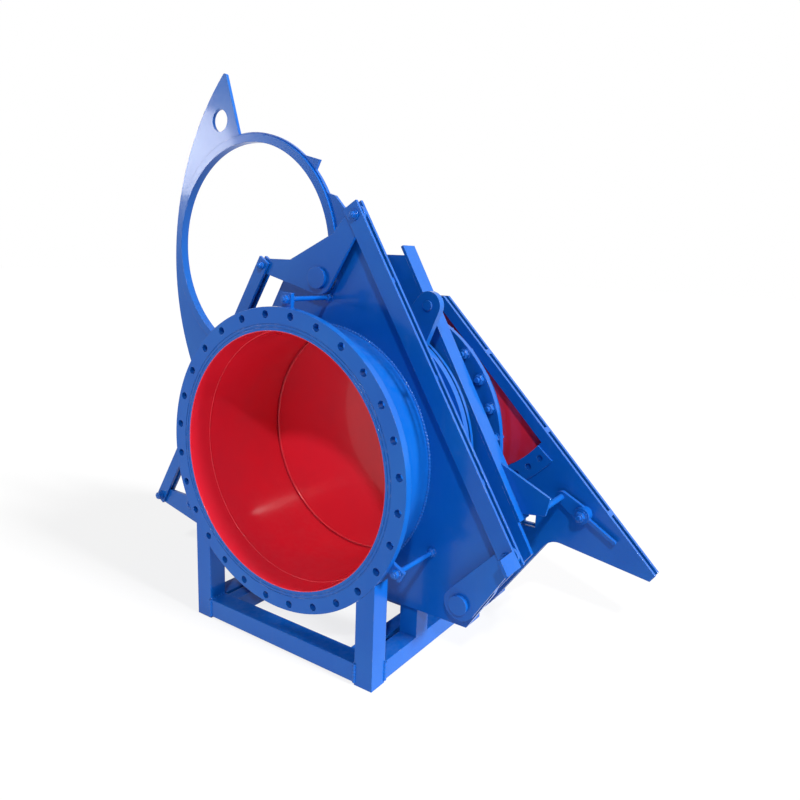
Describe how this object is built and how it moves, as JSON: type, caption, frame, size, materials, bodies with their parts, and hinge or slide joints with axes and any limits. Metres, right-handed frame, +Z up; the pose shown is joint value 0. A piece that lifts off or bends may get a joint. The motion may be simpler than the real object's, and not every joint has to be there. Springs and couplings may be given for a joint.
{
  "type": "blind plate valve",
  "caption": "Gas-main blind plate valve: a sector plate with an open ring and a blind disc swings between two flanged pipe ends and is clamped by cranks and link rods on a steel base.",
  "frame": {"origin": "centre of the front flange's face on the pipe axis", "axes": "X to the right seen from the front, Y back along the pipe, Z up"},
  "size_m": [2.4478, 1.035, 2.345],
  "materials": {
    "blue_paint": "glossy blue machinery enamel with slight orange peel and dust",
    "red_paint": "glossy red enamel on the inside faces",
    "bare_steel": "turned bare steel, slightly greasy"
  },
  "bodies": {
    "base": {"front_flange": "blue_paint", "front_pipe": "blue_paint", "front_seat": "blue_paint", "front_plate": "blue_paint", "flange_lugs": "blue_paint", "tie_studs": "blue_paint", "pivot_shaft": "blue_paint", "clamp_shafts": "blue_paint", "crank_bushes": "bare_steel", "guide_lug": "blue_paint", "clamp_plate": "blue_paint", "clamp_rims": "blue_paint", "rear_pipe": "blue_paint", "middle_flange": "blue_paint", "bellows": "blue_paint", "yoke_front_plate": "blue_paint", "yoke_rear_plate": "blue_paint", "window_lining": "red_paint", "yoke_spacers": "blue_paint", "window_rims": "blue_paint", "yoke_levers": "blue_paint", "clamp_ears": "blue_paint", "release_links": "blue_paint", "front_leg_right": "blue_paint", "front_leg_left": "blue_paint", "front_rail": "blue_paint", "side_rail_right": "blue_paint", "side_rail_left": "blue_paint", "inner_rails": "blue_paint", "middle_crossbar": "blue_paint", "plate_posts": "blue_paint", "plate_shelves": "blue_paint", "clamp_posts": "blue_paint", "yoke_feet": "blue_paint"},
    "sector": {"sector_plate": "blue_paint", "sector_ring": "blue_paint", "blind_disc": "red_paint", "sector_hub": "blue_paint"},
    "top_crank": {"top_crank": "blue_paint", "top_pins": "blue_paint"},
    "right_crank": {"right_crank": "blue_paint", "right_crank_pin": "blue_paint"},
    "left_crank": {"left_crank": "blue_paint", "left_crank_pin": "blue_paint"},
    "right_rod": {"right_rod": "blue_paint"},
    "left_rod": {"left_rod": "blue_paint"}
  },
  "joints": [
    {"name": "sector_swing", "type": "hinge", "parent": "base", "child": "sector", "pos_m": [0, 0.535, 0.69], "axis": [0, -1, 0], "range_deg": [0, 97.4]},
    {"name": "clamp_turn", "type": "hinge", "parent": "base", "child": "top_crank", "pos_m": [0, 0.227, 0.69], "axis": [0, 1, 0], "range_deg": [0, 30]},
    {"name": "right_crank_turn", "type": "hinge", "parent": "base", "child": "right_crank", "pos_m": [0.69, 0.227, -0.44], "axis": [0, 1, 0], "range_deg": [0, 30]},
    {"name": "left_crank_turn", "type": "hinge", "parent": "base", "child": "left_crank", "pos_m": [-0.69, 0.227, -0.44], "axis": [0, 1, 0], "range_deg": [0, 30]},
    {"name": "right_rod_turn", "type": "hinge", "parent": "top_crank", "child": "right_rod", "pos_m": [0.178, 0.227, 0.922], "axis": [0, 1, 0], "range_deg": [-30, 0]},
    {"name": "left_rod_turn", "type": "hinge", "parent": "top_crank", "child": "left_rod", "pos_m": [-0.291, 0.227, 0.725], "axis": [0, 1, 0], "range_deg": [-30, 0]}
  ],
  "couplings": [
    {"joint": "right_crank_turn", "follows": "clamp_turn", "ratio": 1},
    {"joint": "left_crank_turn", "follows": "clamp_turn", "ratio": 1},
    {"joint": "right_rod_turn", "follows": "clamp_turn", "ratio": -1},
    {"joint": "left_rod_turn", "follows": "clamp_turn", "ratio": -1}
  ]
}
